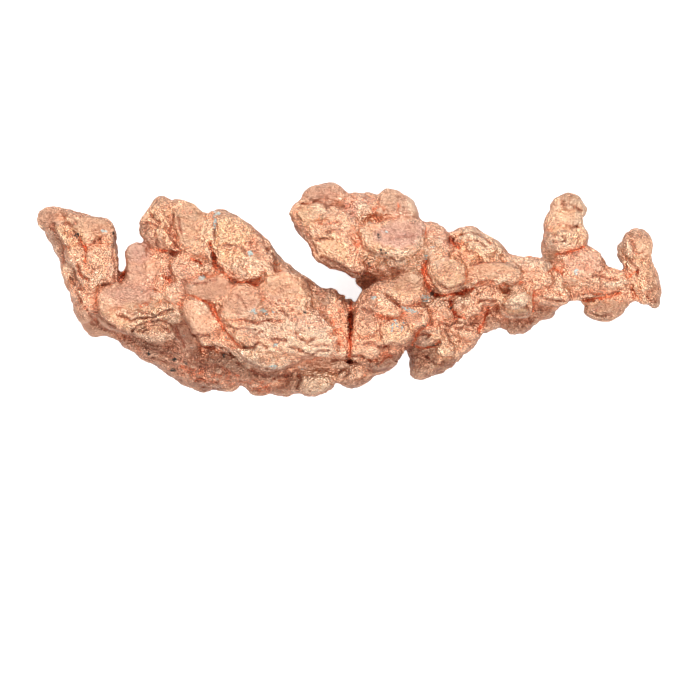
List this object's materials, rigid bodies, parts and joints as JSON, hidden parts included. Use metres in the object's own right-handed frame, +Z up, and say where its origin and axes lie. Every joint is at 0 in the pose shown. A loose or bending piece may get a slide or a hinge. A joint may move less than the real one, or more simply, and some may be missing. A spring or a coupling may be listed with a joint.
{
  "type": "native copper nugget",
  "caption": "Elongated natural copper nugget of fused rounded lobes with a horned end and a forked end, lying on small worn flats of its underside.",
  "frame": {"origin": "on the resting surface, under the middle of the nugget's bounding box", "axes": "+X along the nugget from the horn to the forked tail, +Y across it towards the wing, +Z up"},
  "size_m": [0.0805, 0.0276, 0.0155],
  "materials": {
    "native_copper": "satin worn native copper, peach to salmon with orange-red creases and brown lower flanks"
  },
  "bodies": {
    "root": {"nugget": "native_copper"}
  },
  "joints": []
}
